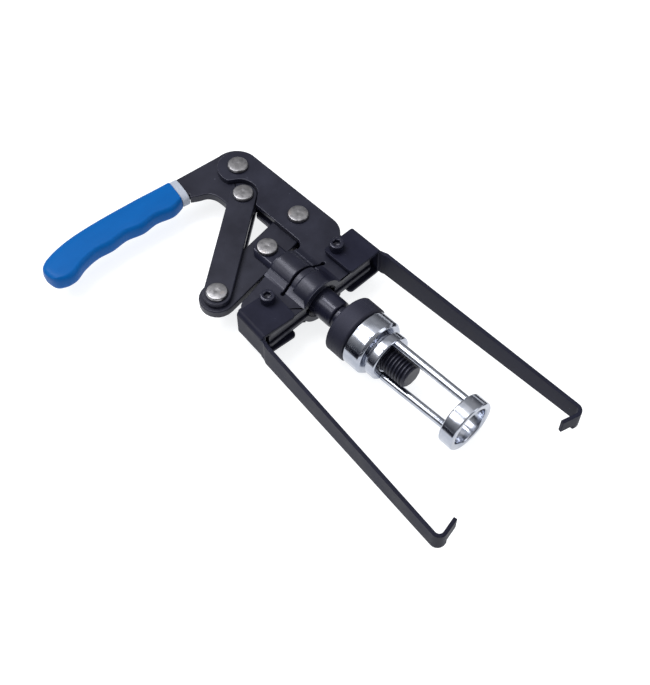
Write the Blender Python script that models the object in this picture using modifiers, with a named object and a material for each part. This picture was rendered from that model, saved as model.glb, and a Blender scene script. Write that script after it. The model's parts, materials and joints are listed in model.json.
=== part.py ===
"""Lever valve spring compressor: two hooked arms, a toggle handle and a screw-adjusted ring foot.

The tool frame has +X along the plunger towards the ring foot, +Y towards the handle pivot and +Z
normal to the body plates. Its origin is the rivet that joins the plunger to the crank lever. The
empty "tool_frame" carries it, so that the middle of the tool's bounding box stands on the world's
origin. Each moving body hangs from an empty on its own joint axis.
"""

import math

import bmesh
import bpy
from mathutils import Matrix, Vector

MM = 0.001
GAP = 0.3 * MM  # clearance that touching pieces keep

# Where the tool frame stands in the world.
TOOL_ORIGIN = (-63.45 * MM, 32.05 * MM, 21.0 * MM)

# Layers, from the middle plane outwards: the levers, the body plates and links, the arm brackets.
CORE_HALF = 3.2 * MM
PLATE_IN = 3.6 * MM
PLATE_OUT = 7.4 * MM
CHEEK_IN = 9.3 * MM
CHEEK_OUT = 12.0 * MM

# Pivots of the linkage in its closed, over-centre position.
HANDLE_PIVOT = (-68.8 * MM, 34.5 * MM)
LINK_PIVOT = (-46.8 * MM, 19.9 * MM)
CRANK_PIVOT = (-6.5 * MM, 34.5 * MM)
PLUNGER_PIVOT = (0.0, 0.0)
LINK_END = (5.1 * MM, -49.1 * MM)

# Body plates.
EAR_RADIUS = 14.8 * MM
EAR_CORNER = -70  # degrees round the ear, where its hook ends
NEST_CENTRE = (-49.6 * MM, 17.9 * MM)  # what the link's round end lies in
NEST_RADIUS = 13.4 * MM
PLATE_TOP = 49.8 * MM
PLATE_INNER = 20.0 * MM
PLATE_FRONT = 53.6 * MM
FLANGE_BACK = 16.2 * MM
FLANGE_SLANT = 4.6 * MM
FLANGE_HALF = 47.2 * MM
TUBE_BACK = 14.6 * MM
TUBE_OUTER = 14.1 * MM
TUBE_STEP_X = 38.4 * MM  # where the tube widens towards its mouth
TUBE_FRONT_RADIUS = 15.6 * MM
TUBE_LIP_RADIUS = 17.3 * MM
TUBE_BORE = 10.3 * MM
TUBE_MOUTH = 12.6 * MM
TUBE_SLOT_X = 33.0 * MM
TUBE_SLOT_BOW = 2.2 * MM  # how far its ends lie ahead of its middle
TUBE_SLOT_WIDTH = 1.7 * MM
TUBE_SLOT_REACH = 18.3 * MM
TUBE_SLOT_HOLE = 1.4 * MM

# Handle, links and crank lever.
HUB_CENTRE = (-71.2 * MM, 34.5 * MM)
HUB_RADIUS = 17.4 * MM
HANDLE_LOBE = 12.2 * MM
LINK_HALF_WIDTH = 9.5 * MM
CRANK_HALF_WIDTH = 12.2 * MM
CRANK_END_RADIUS = 12.5 * MM
NECK_HALF_WIDTH = 9.85 * MM
BAND_LENGTH = 6.0 * MM
TANG_END = (-89.2 * MM, -98.0 * MM)
TANG_HALF_WIDTH = 7.0 * MM
GRIP_HALF_THICKNESS = 6.8 * MM
# The grip's two edges, from the band to the butt: the palm side, and the side with finger waves.
PALM_EDGE = [
    (-93.8 * MM, -9.4 * MM),
    (-96.2 * MM, -22.0 * MM),
    (-98.4 * MM, -34.0 * MM),
    (-99.9 * MM, -46.0 * MM),
    (-101.0 * MM, -58.0 * MM),
    (-101.8 * MM, -70.0 * MM),
    (-102.1 * MM, -82.0 * MM),
    (-101.5 * MM, -94.0 * MM),
    (-99.6 * MM, -105.6 * MM),
    (-96.0 * MM, -116.6 * MM),
]
FINGER_EDGE = [
    (-74.0 * MM, -12.8 * MM),
    (-71.8 * MM, -22.5 * MM),
    (-75.1 * MM, -35.0 * MM),
    (-74.6 * MM, -47.2 * MM),
    (-77.8 * MM, -59.4 * MM),
    (-77.3 * MM, -71.8 * MM),
    (-78.9 * MM, -83.6 * MM),
    (-77.3 * MM, -95.3 * MM),
    (-73.6 * MM, -105.8 * MM),
    (-74.6 * MM, -114.6 * MM),
]

# Plunger, thread and cage, all turned about the tool's X axis.
PLUNGER_RADIUS = 10.0 * MM
PLUNGER_END = 70.0 * MM
NECK_RADIUS = 8.0 * MM
NECK_END = 74.6 * MM
THREAD_RADIUS = 8.9 * MM
THREAD_BORE = 9.25 * MM
THREAD_END = 135.6 * MM
WASHER_SPAN = (74.9 * MM, 77.1 * MM)
WASHER_RADIUS = 12.5 * MM
NUT_SPAN = (77.4 * MM, 92.4 * MM)
NUT_RADIUS = 21.0 * MM
COLLAR_SPAN = (92.7 * MM, 116.8 * MM)
COLLAR_RADIUS = 20.2 * MM
COLLAR_SHOULDER = 107.0 * MM
COLLAR_GROOVE = 109.4 * MM
COLLAR_GROOVE_RADIUS = 13.2 * MM
COLLAR_FRONT_RADIUS = 16.7 * MM
ROD_RADIUS = 2.95 * MM
ROD_CIRCLE = 13.9 * MM
ROD_RING_CIRCLE = 15.1 * MM
ROD_CLOCK = 70  # degrees from +Y towards +Z, the upper rod
ROD_TWIST = 8  # degrees by which the lower rod is welded askew at each end
RING_SPAN = (175.4 * MM, 186.2 * MM)
RING_OUTER = 18.6 * MM
RING_BORE = 13.9 * MM

# Arms. Both have one shape; the left one rests swung outwards on its screw.
SCREW_X = 34.9 * MM
SCREW_Y = 31.1 * MM
ARM_THICKNESS = 2.6 * MM
WEB_INNER = 49.8 * MM
BRACKET_BACK = 29.2 * MM
BRACKET_FRONT = 56.0 * MM
CHEEK_EDGE = 24.0 * MM
STRIP_ROOT_HALF = 8.4 * MM  # inside the bracket's web
STRIP_HALF_START = 10.4 * MM
STRIP_HALF_END = 7.6 * MM
STRIP_START = (61.0 * MM, 52.6 * MM)
STRIP_SLOPE = 1.1  # degrees
ARM_END_X = 229.0 * MM
FINGER_REACH = 17.0 * MM
FINGER_LEAN = 16  # degrees back from square
LEFT_ARM_SWING = 4.7  # degrees

# Fasteners.
RIVET_HEAD_RADIUS = 7.3 * MM
RIVET_HEAD_HEIGHT = 2.8 * MM
RIVET_SHANK = 4.0 * MM
END_RIVET_SHANK = 2.7 * MM
SCREW_SHANK = 3.0 * MM
SCREW_HEAD_RADIUS = 5.0 * MM
SCREW_HEAD_HEIGHT = 6.0 * MM
HOLE_EASE = 0.35 * MM
CRANK_PLUNGER_HOLE = RIVET_SHANK + 0.9 * MM
CRANK_END_HOLE = END_RIVET_SHANK + 4.6 * MM

ROUND_STEPS = 40
SMALL_STEPS = 24
OVAL_POWER = 0.65


def clear_scene():
    for obj in list(bpy.data.objects):
        bpy.data.objects.remove(obj, do_unlink=True)


def new_collection(name):
    made = bpy.data.collections.new(name)
    bpy.context.scene.collection.children.link(made)
    return made


def finish(name, colour, roughness, metallic):
    material = bpy.data.materials.new(name)
    material.use_nodes = True
    shader = material.node_tree.nodes["Principled BSDF"]
    shader.inputs["Base Color"].default_value = (*colour, 1)
    shader.inputs["Roughness"].default_value = roughness
    shader.inputs["Metallic"].default_value = metallic
    material.diffuse_color = (*colour, 1)
    return material


def empty(name, parent=None, location=(0, 0, 0)):
    made = bpy.data.objects.new(name, None)
    PARTS.objects.link(made)
    made.parent = parent
    made.location = location
    return made


# Building blocks ---------------------------------------------------------------------------------


def add(name, mesh, body, material, at=(0, 0, 0), turn=(0, 0, 0)):
    """A sub-part on its body's axis empty; "at" is its place in the tool frame."""
    obj = bpy.data.objects.new(name, mesh)
    PARTS.objects.link(obj)
    obj.parent = AXES[body]
    obj.location = Vector(at) - AXES[body].location
    obj.rotation_euler = turn
    mesh.materials.clear()
    mesh.materials.append(material)
    mesh.shade_smooth()
    mesh.set_sharp_from_angle(angle=math.radians(35))
    return obj


def cutter(name, mesh, at=(0, 0, 0), turn=(0, 0, 0)):
    obj = bpy.data.objects.new(name, mesh)
    CUTTERS.objects.link(obj)
    obj.parent = TOOL
    obj.location = at
    obj.rotation_euler = turn
    obj.hide_render = True
    obj.display_type = "WIRE"
    return obj


def cut(obj, other, operation="DIFFERENCE"):
    modifier = obj.modifiers.new(other.name, "BOOLEAN")
    modifier.object = other
    modifier.operation = operation


def arc(centre, radius, start, end, steps=12):
    """Points on an arc, angles in degrees."""
    angles = [math.radians(start + (end - start) * i / steps) for i in range(steps + 1)]
    return [(centre[0] + radius * math.cos(a), centre[1] + radius * math.sin(a)) for a in angles]


def smooth_path(points, steps=5):
    """A Catmull-Rom curve through the points."""
    ends = [points[0], *points, points[-1]]
    path = []
    for a, b, c, d in zip(ends, ends[1:], ends[2:], ends[3:]):
        a, b, c, d = (Vector(p) for p in (a, b, c, d))
        for i in range(steps):
            t = i / steps
            path.append(
                0.5 * (2 * b + (c - a) * t + (2 * a - 5 * b + 4 * c - d) * t**2)
                + 0.5 * (3 * b - a - 3 * c + d) * t**3
            )
    return [tuple(p) for p in path] + [tuple(points[-1])]


def flat_mesh(name, outline, bottom, top):
    """The outline filled and extruded from bottom to top."""
    curve = bpy.data.curves.new(name, "CURVE")
    curve.dimensions = "2D"
    curve.fill_mode = "BOTH"
    curve.extrude = (top - bottom) / 2
    spline = curve.splines.new("POLY")
    spline.points.add(len(outline) - 1)
    for point, (x, y) in zip(spline.points, outline):
        point.co = (x, y, 0, 1)
    spline.use_cyclic_u = True
    guide = bpy.data.objects.new(name + "_outline", curve)
    bpy.context.scene.collection.objects.link(guide)
    graph = bpy.context.evaluated_depsgraph_get()
    mesh = bpy.data.meshes.new_from_object(guide.evaluated_get(graph))
    bpy.data.objects.remove(guide)
    return welded(mesh, (bottom + top) / 2)


def welded(mesh, lift=0.0):
    work = bmesh.new()
    work.from_mesh(mesh)
    bmesh.ops.remove_doubles(work, verts=work.verts, dist=1e-6)
    bmesh.ops.recalc_face_normals(work, faces=work.faces)
    bmesh.ops.translate(work, verts=work.verts, vec=(0, 0, lift))
    work.to_mesh(mesh)
    work.free()
    return mesh


def cylinder_mesh(name, radius, length, steps=SMALL_STEPS):
    """A cylinder along Z, centred."""
    mesh = bpy.data.meshes.new(name)
    work = bmesh.new()
    bmesh.ops.create_cone(
        work,
        cap_ends=True,
        segments=steps,
        radius1=radius,
        radius2=radius,
        depth=length,
    )
    work.to_mesh(mesh)
    work.free()
    return mesh


def box_mesh(name, low, high):
    mesh = bpy.data.meshes.new(name)
    work = bmesh.new()
    size = Vector(high) - Vector(low)
    middle = (Vector(high) + Vector(low)) / 2
    bmesh.ops.create_cube(work, size=1, matrix=Matrix.Translation(middle) @ Matrix.Diagonal((*size, 1)))
    work.to_mesh(mesh)
    work.free()
    return mesh


def turned(name, profile, body, material, along="X", steps=ROUND_STEPS, at=(0, 0, 0)):
    """A solid of revolution; the profile lists (distance along the axis, radius) from the back."""
    mesh = bpy.data.meshes.new(name)
    points = [(radius, 0, distance) for distance, radius in reversed(profile)]
    edges = [(i, i + 1) for i in range(len(points) - 1)]
    if profile[0][1] > 0:
        edges.append((len(points) - 1, 0))
    mesh.from_pydata(points, edges, [])
    obj = add(name, mesh, body, material, at, (0, math.pi / 2, 0) if along == "X" else (0, 0, 0))
    screw = obj.modifiers.new("turn", "SCREW")
    screw.steps = screw.render_steps = steps
    screw.use_merge_vertices = True
    screw.merge_threshold = 1e-5
    screw.use_smooth_shade = True
    return obj


def lofted_mesh(name, rings):
    """A closed skin over rings of equally many points."""
    mesh = bpy.data.meshes.new(name)
    count = len(rings[0])
    points = [point for ring in rings for point in ring]
    faces = [tuple(reversed(range(count)))]
    for low in range(0, count * (len(rings) - 1), count):
        for i in range(count):
            after = (i + 1) % count
            faces.append((low + i, low + after, low + count + after, low + count + i))
    faces.append(tuple(range(count * (len(rings) - 1), count * len(rings))))
    mesh.from_pydata(points, [], faces)
    return welded(mesh)


def spindle_mesh(name, stations):
    """A solid about the X axis through stations of (x, radius)."""
    turns = [2 * math.pi * i / ROUND_STEPS for i in range(ROUND_STEPS)]
    rings = [[(x, r * math.cos(a), r * math.sin(a)) for a in turns] for x, r in stations]
    return lofted_mesh(name, rings)


def drill(obj, centre, radius, steps=SMALL_STEPS):
    """A hole along Z right through the piece."""
    name = f"{obj.name}_hole_{len(obj.modifiers)}"
    cut(obj, cutter(name, cylinder_mesh(name, radius, 0.06, steps), (*centre, 0)))


# Body plates and their spacers -------------------------------------------------------------------


def plate_outline():
    corner = 6 * MM
    shoulder = 16 * MM
    heel = 9 * MM
    toe = 3 * MM
    outline = arc(HANDLE_PIVOT, EAR_RADIUS, 90, 360 + EAR_CORNER, 20)
    outline += arc(NEST_CENTRE, NEST_RADIUS, 138, 50, 12)
    outline += [(NEST_CENTRE[0] + 12.7 * MM, PLATE_INNER + 3.6 * MM)]
    outline += [(NEST_CENTRE[0] + 15.6 * MM, PLATE_INNER)]
    outline += arc((TUBE_BACK - corner, PLATE_INNER - corner), corner, 90, 0, 6)
    outline += [(TUBE_BACK, -13.0 * MM), (FLANGE_BACK, -16.5 * MM)]
    outline += arc((FLANGE_BACK + FLANGE_SLANT + heel, -FLANGE_HALF + heel), heel, 172, 270, 6)
    outline += arc((PLATE_FRONT - toe, -FLANGE_HALF + toe), toe, 270, 360, 4)
    outline += arc((PLATE_FRONT - toe, FLANGE_HALF - toe), toe, 0, 90, 4)
    outline += [(34 * MM, FLANGE_HALF), (28 * MM, 42.6 * MM)]
    outline += arc((13 * MM, PLATE_TOP - shoulder), shoulder, 36, 90, 6)
    return outline


def slot_outline():
    """The relief slot over the tube, bowed so that its middle lies behind its ends."""
    steps = 12
    half = TUBE_SLOT_WIDTH / 2
    front, back = [], []
    for i in range(steps + 1):
        share = 2 * i / steps - 1
        x = TUBE_SLOT_X + TUBE_SLOT_BOW * share**2
        front.append((x + half, share * TUBE_SLOT_REACH))
        back.append((x - half, share * TUBE_SLOT_REACH))
    return front + back[::-1]


def body_plate(name, side):
    """side is +1 for the front plate and -1 for the rear one."""
    low, high = sorted((side * PLATE_IN, side * PLATE_OUT))
    plate = add(name, flat_mesh(name, plate_outline(), low, high), "frame", BLACK)

    stations = [
        (TUBE_BACK, TUBE_OUTER),
        (TUBE_STEP_X, TUBE_OUTER),
        (TUBE_STEP_X + 0.8 * MM, TUBE_FRONT_RADIUS),
        (PLATE_FRONT - 4 * MM, TUBE_FRONT_RADIUS),
        (PLATE_FRONT - 1.6 * MM, (TUBE_FRONT_RADIUS + TUBE_LIP_RADIUS) / 2),
        (PLATE_FRONT, TUBE_LIP_RADIUS),
    ]
    tube = cutter(name + "_tube", spindle_mesh(name + "_tube", stations))
    depth = 2 * TUBE_OUTER
    beyond = (-0.1, -0.1, -depth) if side > 0 else (-0.1, -0.1, -PLATE_IN)
    opposite = (0.2, 0.1, PLATE_IN) if side > 0 else (0.2, 0.1, depth)
    cut(tube, cutter(name + "_half", box_mesh(name + "_half", beyond, opposite)))
    cut(plate, tube, "UNION")

    foot = TUBE_OUTER + 2.6 * MM
    under = side * (PLATE_OUT - 1.0 * MM)
    inset = 0.02 * MM
    for y in (-1, 1):
        points = [
            (y * foot, side * PLATE_OUT),
            (y * (foot - 2.0 * MM), side * (PLATE_OUT + 0.5 * MM)),
            (y * (TUBE_OUTER - 3.0 * MM), side * (PLATE_OUT + 2.2 * MM)),
            (y * (TUBE_OUTER - 3.2 * MM), under),
            (y * foot, under),
        ]
        ends = (TUBE_BACK + inset, PLATE_FRONT - inset)
        rings = [[(x, across, z) for across, z in points] for x in ends]
        root = f"{name}_root_{'left' if y < 0 else 'right'}"
        cut(plate, cutter(root, lofted_mesh(root, rings)), "UNION")

    bore = name + "_bore"
    mouth_depth = 2.4 * MM
    stations = [
        (-0.1, TUBE_BORE),
        (PLATE_FRONT - mouth_depth, TUBE_BORE),
        (PLATE_FRONT - 0.4 * MM, TUBE_MOUTH),
        (PLATE_FRONT + 1 * MM, TUBE_MOUTH),
    ]
    cut(plate, cutter(bore, spindle_mesh(bore, stations)))
    if side > 0:
        slot = name + "_slot"
        cut(plate, cutter(slot, flat_mesh(slot, slot_outline(), PLATE_IN - 1 * MM, 2 * TUBE_OUTER)))
        for y in (-TUBE_SLOT_REACH, TUBE_SLOT_REACH):
            drill(plate, (TUBE_SLOT_X + TUBE_SLOT_BOW, y), TUBE_SLOT_HOLE, 12)

    drill(plate, HANDLE_PIVOT, RIVET_SHANK + HOLE_EASE)
    drill(plate, CRANK_PIVOT, RIVET_SHANK + HOLE_EASE)
    for y in (-SCREW_Y, SCREW_Y):
        drill(plate, (SCREW_X, y), SCREW_SHANK + HOLE_EASE)
    return plate


def flange_spacer(name, side):
    """The block between the two plates that carries an arm's screw."""
    inner = TUBE_MOUTH + 0.4 * MM
    low, high = sorted((side * inner, side * (FLANGE_HALF - 1.0 * MM)))
    back, front = FLANGE_BACK + 6 * MM, PLATE_FRONT - 1.5 * MM
    outline = [(back, low), (front, low), (front, high), (back, high)]
    spacer = add(name, flat_mesh(name, outline, -CORE_HALF, CORE_HALF), "frame", BLACK)
    drill(spacer, (SCREW_X, side * SCREW_Y), SCREW_SHANK + HOLE_EASE)
    return spacer


# Levers and links --------------------------------------------------------------------------------


def grip_sections():
    """Centre and half-width vector of each section of the grip, from the band to the butt."""
    edges = zip(smooth_path(PALM_EDGE, 3), smooth_path(FINGER_EDGE, 3))
    return [((Vector(p) + Vector(f)) / 2, (Vector(f) - Vector(p)) / 2) for p, f in edges]


def oval_ring(centre, across, thick):
    """A flattened oval round a centre: half-width vector across, half-thickness thick."""
    ring = []
    for i in range(SMALL_STEPS):
        angle = 2 * math.pi * i / SMALL_STEPS
        c, s = math.cos(angle), math.sin(angle)
        place = centre + across * math.copysign(abs(c) ** OVAL_POWER, c)
        ring.append((place.x, place.y, thick * math.copysign(abs(s) ** OVAL_POWER, s)))
    return ring


def shoulder_frame():
    """Where the lever narrows into its tang: the point, the way towards the butt, the way across."""
    centre, across = grip_sections()[0]
    across = across.normalized()
    ahead = Vector((across.y, -across.x))
    return centre - ahead * (BAND_LENGTH + GAP), ahead, across


def tang_outline(ease, back=0.0):
    shoulder = shoulder_frame()[0]
    along = (Vector(TANG_END) - shoulder).normalized()
    side = Vector((-along.y, along.x)) * (TANG_HALF_WIDTH + ease)
    near, far = shoulder - along * back, Vector(TANG_END) + along * ease
    return [tuple(near - side), tuple(far - side), tuple(far + side), tuple(near + side)]


def handle_lever():
    shoulder, _, across = shoulder_frame()
    neck = across * NECK_HALF_WIDTH
    x, y = LINK_PIVOT
    neck_front = [
        tuple(shoulder + neck),
        (x - 23.4 * MM, y - 21.6 * MM),
        (x - 20.4 * MM, y - 15.6 * MM),
        (x - 15.4 * MM, y - 12.6 * MM),
        (x - 9.4 * MM, y - 11.9 * MM),
        (x - 4.0 * MM, y - 12.0 * MM),
    ]
    outline = [tuple(shoulder - neck)] + tang_outline(0, 0.8 * MM) + smooth_path(neck_front, 5)
    outline += arc(LINK_PIVOT, HANDLE_LOBE, 275, 390, 10)
    outline += arc(HUB_CENTRE, HUB_RADIUS, 65, 184, 12)
    lever = add("handle_lever", flat_mesh("handle_lever", outline, -CORE_HALF, CORE_HALF), "handle", BLACK)
    drill(lever, HANDLE_PIVOT, RIVET_SHANK + HOLE_EASE)
    drill(lever, LINK_PIVOT, RIVET_SHANK + HOLE_EASE)


def handle_grip():
    sections = grip_sections()
    mouth_centre, mouth = sections[0]
    rings = [oval_ring(mouth_centre, mouth * 0.95, GRIP_HALF_THICKNESS - 0.6 * MM)]
    rings += [oval_ring(centre, across, GRIP_HALF_THICKNESS) for centre, across in sections[1:]]
    butt_centre, butt = sections[-1]
    ahead = Vector((butt.y, -butt.x)).normalized()
    for reach, shrink in ((2.2, 0.94), (3.9, 0.8), (5.0, 0.55)):
        centre = butt_centre + ahead * reach * MM
        rings.append(oval_ring(centre, butt * shrink, GRIP_HALF_THICKNESS * shrink))
    grip = add("handle_grip", lofted_mesh("handle_grip", rings), "handle", BLUE)
    pocket = flat_mesh("grip_pocket", tang_outline(GAP, 4 * MM), -CORE_HALF - GAP, CORE_HALF + GAP)
    cut(grip, cutter("grip_pocket", pocket))


def grip_band():
    """The light collar where the grip meets the bare lever."""
    shoulder, ahead, across = shoulder_frame()
    wide = across * (NECK_HALF_WIDTH + 0.7 * MM)
    thick = GRIP_HALF_THICKNESS - 1.2 * MM
    rings = []
    for share, ease in ((0.0, 0.95), (0.07, 1.0), (0.93, 1.0), (1.0, 0.95)):
        centre = shoulder + ahead * (GAP + (BAND_LENGTH - GAP) * share)
        rings.append(oval_ring(centre, wide * ease, thick * ease))
    band = add("grip_band", lofted_mesh("grip_band", rings), "handle", GREY)
    slot = flat_mesh("band_slot", tang_outline(GAP, 4 * MM), -CORE_HALF - GAP, CORE_HALF + GAP)
    cut(band, cutter("band_slot", slot))


def bar_outline(start, end, start_radius, end_radius):
    """A lever with round ends, tapering from one radius to the other."""
    span = Vector(end) - Vector(start)
    heading = math.degrees(math.atan2(span.y, span.x))
    lean = math.degrees(math.asin((start_radius - end_radius) / span.length))
    return arc(start, start_radius, heading + 90 - lean, heading + 270 + lean, 12) + arc(
        end, end_radius, heading - 90 + lean, heading + 90 - lean, 12
    )


def link(name, side):
    low, high = sorted((side * PLATE_IN, side * PLATE_OUT))
    outline = bar_outline(LINK_PIVOT, LINK_END, LINK_HALF_WIDTH, LINK_HALF_WIDTH)
    made = add(name, flat_mesh(name, outline, low, high), "link", BLACK)
    drill(made, LINK_PIVOT, RIVET_SHANK + HOLE_EASE)
    drill(made, LINK_END, END_RIVET_SHANK + HOLE_EASE)


def crank_lever():
    outline = bar_outline(CRANK_PIVOT, LINK_END, CRANK_HALF_WIDTH, CRANK_END_RADIUS)
    crank = add("crank_lever", flat_mesh("crank_lever", outline, -CORE_HALF, CORE_HALF), "crank", BLACK)
    drill(crank, CRANK_PIVOT, RIVET_SHANK + HOLE_EASE)
    drill(crank, PLUNGER_PIVOT, CRANK_PLUNGER_HOLE)
    drill(crank, LINK_END, CRANK_END_HOLE)


def rivet(name, centre, shank, inner, body):
    """A domed rivet: shank through the stack, a head on each side; inner is the heads' seat height."""
    dome = [
        (RIVET_HEAD_HEIGHT * math.sin(a), RIVET_HEAD_RADIUS * math.cos(a) ** 0.5)
        for a in [math.radians(15 * i) for i in range(6)]
    ]
    top = [(inner + rise, radius) for rise, radius in dome] + [(inner + RIVET_HEAD_HEIGHT, 0)]
    bottom = [(-distance, radius) for distance, radius in reversed(top)]
    profile = bottom + [(-inner, shank), (inner, shank)] + top
    turned(name, profile, body, STEEL, "Z", SMALL_STEPS, (*centre, 0))


# Plunger, adjuster and cage ----------------------------------------------------------------------


def plunger():
    profile = [
        (-PLUNGER_RADIUS, 0),
        (-PLUNGER_RADIUS, PLUNGER_RADIUS),
        (PLUNGER_END - 1 * MM, PLUNGER_RADIUS),
        (PLUNGER_END, PLUNGER_RADIUS - 1 * MM),
        (PLUNGER_END, NECK_RADIUS),
        (NECK_END, NECK_RADIUS),
        (NECK_END, THREAD_RADIUS),
        (THREAD_END - 1.5 * MM, THREAD_RADIUS),
        (THREAD_END, THREAD_RADIUS - 1.5 * MM),
        (THREAD_END, 0),
    ]
    rod = turned("plunger", profile, "plunger", BLACK)
    fork = PLATE_IN
    slot_end = CRANK_HALF_WIDTH + 2.6 * MM
    cut(rod, cutter("fork_slot", box_mesh("fork_slot", (-0.02, -0.02, -fork), (slot_end, 0.02, fork))))
    for side in (-1, 1):
        low, high = sorted((side * PLATE_OUT, side * 0.02))
        flat = f"fork_flat_{'rear' if side < 0 else 'front'}"
        cut(rod, cutter(flat, box_mesh(flat, (-0.02, -0.02, low), (TUBE_BACK - 3 * MM, 0.02, high))))
    nose = PLUNGER_RADIUS - 0.6 * MM
    corner = arc((0, 0), nose, 270, 180, 10) + [(-20 * MM, 0.0), (-20 * MM, -20 * MM), (0.0, -20 * MM)]
    for side in (-1, 1):
        name = f"fork_nose_{'left' if side < 0 else 'right'}"
        points = [(x, -side * y) for x, y in corner]
        cut(rod, cutter(name, flat_mesh(name, points, -0.02, 0.02)))
    drill(rod, PLUNGER_PIVOT, RIVET_SHANK + HOLE_EASE)


def thrust_washer():
    back, front = WASHER_SPAN
    profile = [(back, THREAD_BORE), (back, WASHER_RADIUS), (front, WASHER_RADIUS), (front, THREAD_BORE)]
    turned("thrust_washer", profile, "carrier", ZINC)


def lock_nut():
    back, front = NUT_SPAN
    edge = 1.2 * MM
    profile = [
        (back, THREAD_BORE),
        (back, NUT_RADIUS - edge),
        (back + edge, NUT_RADIUS),
        (front - edge, NUT_RADIUS),
        (front, NUT_RADIUS - edge),
        (front, THREAD_BORE),
    ]
    turned("lock_nut", profile, "lock_nut", BLACK)


def cage():
    back, front = COLLAR_SPAN
    edge = 1.0 * MM
    profile = [
        (back, THREAD_BORE),
        (back, COLLAR_RADIUS - edge),
        (back + edge, COLLAR_RADIUS),
        (COLLAR_SHOULDER - edge, COLLAR_RADIUS),
        (COLLAR_SHOULDER, COLLAR_RADIUS - edge),
        (COLLAR_SHOULDER, COLLAR_GROOVE_RADIUS),
        (COLLAR_GROOVE, COLLAR_GROOVE_RADIUS),
        (COLLAR_GROOVE, COLLAR_FRONT_RADIUS - edge),
        (COLLAR_GROOVE + edge, COLLAR_FRONT_RADIUS),
        (front - edge, COLLAR_FRONT_RADIUS),
        (front, COLLAR_FRONT_RADIUS - edge),
        (front, THREAD_BORE),
    ]
    turned("cage_collar", profile, "cage", ZINC)

    back, front = RING_SPAN
    edge = 0.7 * MM
    profile = [
        (back, RING_BORE),
        (back, RING_OUTER - edge),
        (back + edge, RING_OUTER),
        (front - edge, RING_OUTER),
        (front, RING_OUTER - edge),
        (front, RING_BORE + edge),
        (front - edge, RING_BORE),
    ]
    turned("foot_ring", profile, "cage", ZINC)

    rods = (("cage_rod_upper", ROD_CLOCK, 0), ("cage_rod_lower", ROD_CLOCK + 180, ROD_TWIST))
    for name, clock, twist in rods:
        start = clock_point(COLLAR_SPAN[1] + GAP, ROD_CIRCLE, clock - twist)
        end = clock_point(RING_SPAN[0] - GAP, ROD_RING_CIRCLE, clock + twist)
        mesh = cylinder_mesh(name, ROD_RADIUS, (end - start).length, 16)
        heading = (end - start).to_track_quat("Z", "Y").to_euler()
        add(name, mesh, "cage", ZINC, (start + end) / 2, heading)


def clock_point(x, radius, clock):
    """A point round the plunger's axis, clock degrees from +Y towards +Z."""
    return Vector((x, radius * math.cos(math.radians(clock)), radius * math.sin(math.radians(clock))))


# Arms --------------------------------------------------------------------------------------------


def strip_outline():
    """The arm seen from above, on the +Y side: web, jog, long strip and hooked finger."""
    half = ARM_THICKNESS / 2
    root_half = half - 0.05 * MM  # a hair inside the web, so that no two faces share a plane
    web = WEB_INNER + half
    slope = math.radians(STRIP_SLOPE)
    start_x, start_y = STRIP_START
    bend = 4.2 * MM
    corner = Vector((ARM_END_X - half - bend, 0))
    corner.y = start_y + (corner.x - start_x) * math.tan(slope) - bend
    middle = [(BRACKET_BACK + 4 * MM, web), (BRACKET_FRONT - 1 * MM, web)]
    middle += [(BRACKET_FRONT + 3 * MM, (web + start_y) / 2), STRIP_START]
    middle += arc(corner, bend, 90 + STRIP_SLOPE, -FINGER_LEAN, 8)
    reach = FINGER_REACH - bend - half
    lean = math.radians(FINGER_LEAN)
    last = Vector(middle[-1])
    middle += [tuple(last + reach * Vector((-math.sin(lean), -math.cos(lean))))]
    left, right = [], []
    for i, point in enumerate(middle):
        before = Vector(middle[max(i - 1, 0)])
        after = Vector(middle[min(i + 1, len(middle) - 1)])
        ahead = (after - before).normalized()
        across = Vector((-ahead.y, ahead.x)) * (root_half if point[0] < BRACKET_FRONT else half)
        left.append(tuple(Vector(point) + across))
        right.append(tuple(Vector(point) - across))
    return left + right[::-1]


def strip_mesh(name):
    """The strip's outline given its height, which tapers evenly from the bracket to the finger."""
    strip = flat_mesh(name, strip_outline(), -STRIP_HALF_START, STRIP_HALF_START)
    for vertex in strip.vertices:
        share = (vertex.co.x - STRIP_START[0]) / (ARM_END_X - STRIP_START[0])
        half = STRIP_HALF_START + (STRIP_HALF_END - STRIP_HALF_START) * share
        if vertex.co.x < BRACKET_FRONT:
            half = STRIP_ROOT_HALF
        vertex.co.z = math.copysign(half, vertex.co.z)
    return strip


def bracket_mesh(name):
    """The U bracket, a C section along X on the +Y side."""
    radius = 3.4 * MM
    web_outer = WEB_INNER + ARM_THICKNESS
    section = [(CHEEK_EDGE, CHEEK_OUT)]
    section += arc((web_outer - radius, CHEEK_OUT - radius), radius, 90, 0, 5)
    section += arc((web_outer - radius, -CHEEK_OUT + radius), radius, 0, -90, 5)
    section += [(CHEEK_EDGE, -CHEEK_OUT), (CHEEK_EDGE, -CHEEK_IN)]
    section += [(WEB_INNER, -CHEEK_IN), (WEB_INNER, CHEEK_IN), (CHEEK_EDGE, CHEEK_IN)]
    return lofted_mesh(name, [[(x, y, z) for y, z in section] for x in (BRACKET_BACK, BRACKET_FRONT)])


def corner_mesh(name, x, outwards):
    """What rounds off a cheek's corner at x; outwards is the sign of the way out along X."""
    radius = 3 * MM
    centre = (x - outwards * radius, CHEEK_EDGE + radius)
    points = arc(centre, radius, 270, 270 + outwards * 90, 5)
    beyond = 1 * MM
    points += [(x + outwards * beyond, centre[1]), (x + outwards * beyond, CHEEK_EDGE - beyond)]
    points += [(centre[0], CHEEK_EDGE - beyond)]
    return flat_mesh(name, points, -0.02, 0.02)


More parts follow.
